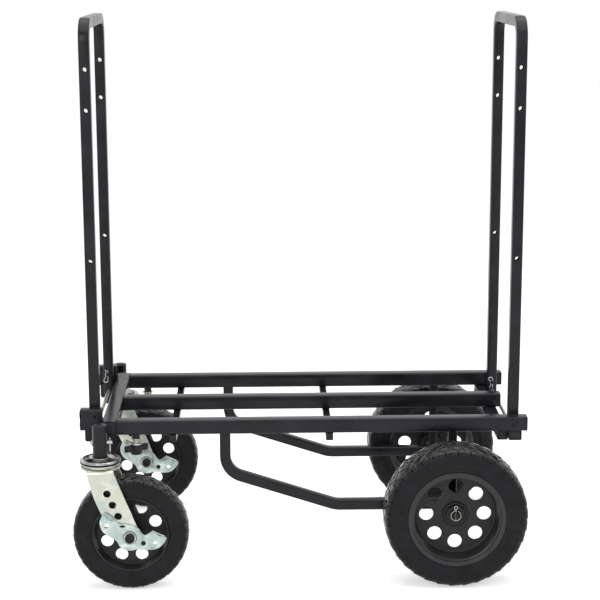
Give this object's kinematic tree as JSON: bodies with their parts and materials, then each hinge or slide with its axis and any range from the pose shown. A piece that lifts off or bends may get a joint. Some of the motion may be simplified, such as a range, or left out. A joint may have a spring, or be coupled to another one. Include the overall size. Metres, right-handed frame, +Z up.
{
  "type": "equipment cart",
  "caption": "Low steel-tube hand cart whose deck telescopes, with a fold-down U handle at each end, large fixed wheels at one end and swivel casters with brake pedals at the other.",
  "frame": {"origin": "on the floor, in the middle of the bounding box seen from above", "axes": "+Z is up, +X points to the end with the large fixed wheels, and -Y is the near side, which the picture shows"},
  "size_m": [0.804, 0.5212, 0.988],
  "materials": {
    "black_powder_coat": "satin black powder coat",
    "zinc_plate": "pale zinc plating with a faint green and yellow tint",
    "bright_steel": "bright plated steel",
    "black_plastic": "moulded black plastic",
    "tyre_rubber": "matt black solid rubber"
  },
  "bodies": {
    "rear_frame": {"outer_rail_near": "black_powder_coat", "outer_rail_centre": "black_powder_coat", "outer_rail_far": "black_powder_coat", "under_bar_front": "black_powder_coat", "under_bar_rear": "black_powder_coat", "rear_cross_tube": "black_powder_coat", "axle_strut_near": "black_powder_coat", "axle_strut_far": "black_powder_coat", "rear_axle": "bright_steel", "axle_clip_near": "bright_steel", "axle_clip_far": "bright_steel", "rear_hinge_pin_near": "zinc_plate", "rear_hinge_pin_far": "zinc_plate", "rear_hinge_clip_near": "bright_steel", "rear_hinge_clip_far": "bright_steel", "rail_end_cap_near": "black_plastic", "rail_end_cap_centre": "black_plastic", "rail_end_cap_far": "black_plastic"},
    "front_frame": {"inner_rail_near": "bright_steel", "inner_rail_centre": "bright_steel", "inner_rail_far": "bright_steel", "front_cross_tube": "black_powder_coat", "bracket_cap_near": "black_plastic", "bracket_cap_far": "black_plastic", "caster_socket_near": "black_powder_coat", "caster_socket_far": "black_powder_coat", "caster_stem_near": "bright_steel", "caster_stem_far": "bright_steel", "socket_pin_near": "zinc_plate", "socket_pin_far": "zinc_plate", "socket_clip_near": "bright_steel", "socket_clip_far": "bright_steel", "front_hinge_pin_near": "zinc_plate", "front_hinge_pin_far": "zinc_plate", "front_hinge_clip_near": "bright_steel", "front_hinge_clip_far": "bright_steel"},
    "left_handle": {"left_handle": "black_powder_coat", "left_handle_rod": "zinc_plate"},
    "right_handle": {"right_handle": "black_powder_coat", "right_handle_rod": "zinc_plate"},
    "caster_near": {"caster_fork_near": "zinc_plate", "caster_axle_bolt_near": "zinc_plate"},
    "caster_wheel_near": {"caster_rim_near": "black_plastic", "caster_tyre_near": "tyre_rubber", "caster_hub_bush_near": "bright_steel"},
    "caster_brake_near": {"brake_plate_near": "zinc_plate"},
    "rear_wheel_near": {"rear_rim_near": "black_plastic", "rear_tyre_near": "tyre_rubber", "rear_hub_bush_near": "bright_steel"},
    "lock_knob_near": {"lock_knob_near": "black_plastic"},
    "caster_far": {"caster_fork_far": "zinc_plate", "caster_axle_bolt_far": "zinc_plate"},
    "caster_wheel_far": {"caster_rim_far": "black_plastic", "caster_tyre_far": "tyre_rubber", "caster_hub_bush_far": "bright_steel"},
    "caster_brake_far": {"brake_plate_far": "zinc_plate"},
    "rear_wheel_far": {"rear_rim_far": "black_plastic", "rear_tyre_far": "tyre_rubber", "rear_hub_bush_far": "bright_steel"},
    "lock_knob_far": {"lock_knob_far": "black_plastic"}
  },
  "joints": [
    {"name": "deck_slide", "type": "slide", "parent": "rear_frame", "child": "front_frame", "axis": [-1, 0, 0], "range_m": [0, 0.457]},
    {"name": "left_handle_fold", "type": "hinge", "parent": "front_frame", "child": "left_handle", "pos_m": [-0.3665, 0, 0.298], "axis": [0, 1, 0], "range_deg": [0, 90]},
    {"name": "right_handle_fold", "type": "hinge", "parent": "rear_frame", "child": "right_handle", "pos_m": [0.3802, 0, 0.2753], "axis": [0, 1, 0], "range_deg": [-87.5, 0]},
    {"name": "caster_swivel_near", "type": "hinge", "parent": "front_frame", "child": "caster_near", "pos_m": [-0.3513, -0.2165, 0.2252], "axis": [0, 0, 1], "continuous": true},
    {"name": "caster_wheel_spin_near", "type": "hinge", "parent": "caster_near", "child": "caster_wheel_near", "pos_m": [-0.3004, -0.2165, 0.1016], "axis": [0, 1, 0], "continuous": true},
    {"name": "caster_brake_pedal_near", "type": "hinge", "parent": "caster_near", "child": "caster_brake_near", "pos_m": [-0.3004, -0.2165, 0.1016], "axis": [0, 1, 0], "range_deg": [0, 12]},
    {"name": "rear_wheel_spin_near", "type": "hinge", "parent": "rear_frame", "child": "rear_wheel_near", "pos_m": [0.2695, -0.2165, 0.127], "axis": [0, 1, 0], "continuous": true},
    {"name": "lock_knob_turn_near", "type": "hinge", "parent": "rear_frame", "child": "lock_knob_near", "pos_m": [-0.293, -0.1588, 0.2545], "axis": [0, 0, -1], "range_deg": [0, 270]},
    {"name": "caster_swivel_far", "type": "hinge", "parent": "front_frame", "child": "caster_far", "pos_m": [-0.3513, 0.2165, 0.2252], "axis": [0, 0, 1], "continuous": true},
    {"name": "caster_wheel_spin_far", "type": "hinge", "parent": "caster_far", "child": "caster_wheel_far", "pos_m": [-0.3004, 0.2165, 0.1016], "axis": [0, 1, 0], "continuous": true},
    {"name": "caster_brake_pedal_far", "type": "hinge", "parent": "caster_far", "child": "caster_brake_far", "pos_m": [-0.3004, 0.2165, 0.1016], "axis": [0, 1, 0], "range_deg": [0, 12]},
    {"name": "rear_wheel_spin_far", "type": "hinge", "parent": "rear_frame", "child": "rear_wheel_far", "pos_m": [0.2695, 0.2165, 0.127], "axis": [0, 1, 0], "continuous": true},
    {"name": "lock_knob_turn_far", "type": "hinge", "parent": "rear_frame", "child": "lock_knob_far", "pos_m": [-0.293, 0.1588, 0.2545], "axis": [0, 0, -1], "range_deg": [0, 270]}
  ]
}
